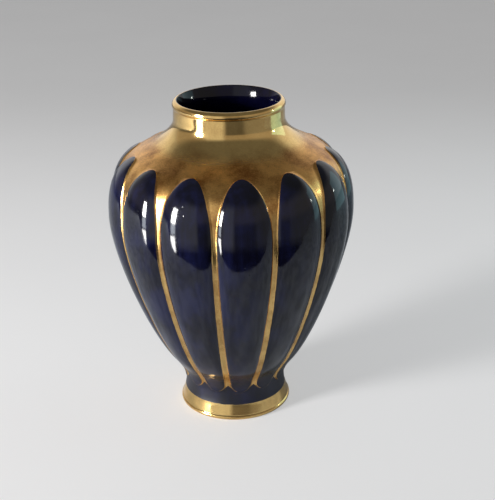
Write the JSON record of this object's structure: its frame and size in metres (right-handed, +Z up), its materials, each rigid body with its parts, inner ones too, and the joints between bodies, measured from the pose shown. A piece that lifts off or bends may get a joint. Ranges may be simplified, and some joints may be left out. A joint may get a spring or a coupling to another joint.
{
  "type": "vase",
  "caption": "Hollow cobalt-glazed ceramic vase with raised vertical lobes, gilded shoulder and grooves, short neck with rolled lip, and round gilded foot ring.",
  "frame": {"origin": "centre of the foot, on the surface that the vase stands on", "axes": "+Z up along the vase's axis; -Y is the side that the reference view shows"},
  "size_m": [0.1614, 0.1615, 0.215],
  "materials": {
    "gilded_cobalt_glaze": "deep cobalt glaze, glossy, with fired gold on lip, neck, shoulder, grooves and foot"
  },
  "bodies": {
    "root": {"vase": "gilded_cobalt_glaze"}
  },
  "joints": []
}
